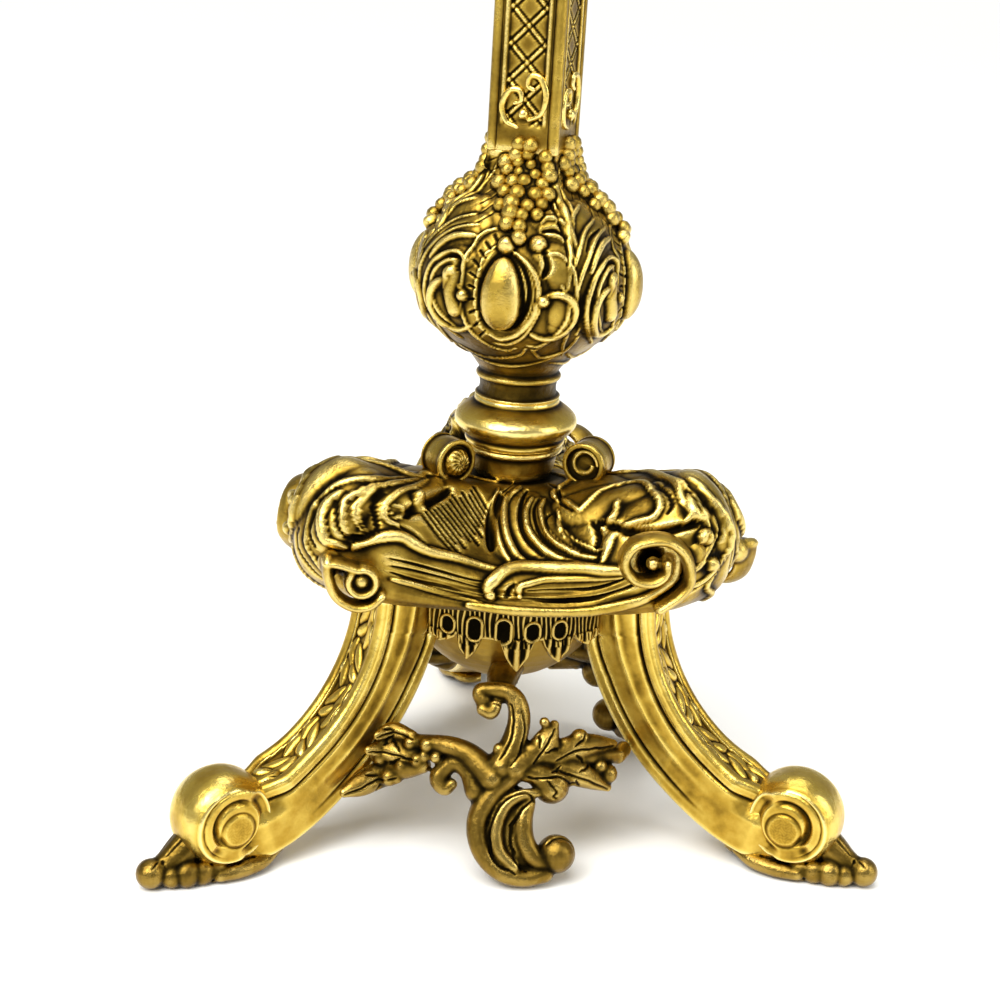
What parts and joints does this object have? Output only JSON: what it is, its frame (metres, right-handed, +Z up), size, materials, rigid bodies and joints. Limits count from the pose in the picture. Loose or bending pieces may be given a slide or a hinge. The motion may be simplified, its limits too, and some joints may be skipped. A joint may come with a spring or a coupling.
{
  "type": "torchere candle stand",
  "caption": "Gilt table candle stand: tripod scroll legs under a domed triangular base, chased four-sided stem with a bulb, drip pan and lift-off candle cup.",
  "frame": {"origin": "point of the table top under the stem's axis, level with the flat undersides of the three feet", "axes": "+Z up the stem, +Y towards the rear leg, +X to the right as seen from the front face, which looks along -Y"},
  "size_m": [0.2766, 0.2415, 0.6253],
  "materials": {
    "gilt_brass": "chased and lacquered gilt, worn bright on the high spots",
    "antique_brass": "chased gilt with dark toning in the recesses",
    "plain_steel": "plain, slightly dull"
  },
  "bodies": {
    "stand": {"leg_front_left": "gilt_brass", "leg_front_right": "gilt_brass", "leg_rear": "gilt_brass", "foot_front_left": "gilt_brass", "foot_front_right": "gilt_brass", "foot_rear": "gilt_brass", "hub_bowl": "antique_brass", "platform": "gilt_brass", "apron_front": "antique_brass", "apron_right": "antique_brass", "apron_left": "antique_brass", "bracket_front": "antique_brass", "bracket_right": "antique_brass", "bracket_left": "antique_brass", "socket_collar": "gilt_brass", "ring_knop": "gilt_brass", "baluster": "gilt_brass", "shaft": "gilt_brass", "upper_ring": "gilt_brass", "capital": "gilt_brass", "nozzle_socket": "gilt_brass", "tie_rod": "plain_steel", "tie_washers": "plain_steel", "tie_nuts": "plain_steel", "leg_screws": "plain_steel", "apron_screws": "plain_steel", "foot_screws": "plain_steel", "bracket_rivets": "plain_steel"},
    "nozzle": {"drip_pan": "gilt_brass", "candle_cup": "gilt_brass"}
  },
  "joints": [
    {"name": "nozzle_lift", "type": "slide", "parent": "stand", "child": "nozzle", "axis": [0, 0, 1], "range_m": [0, 0.03]}
  ]
}
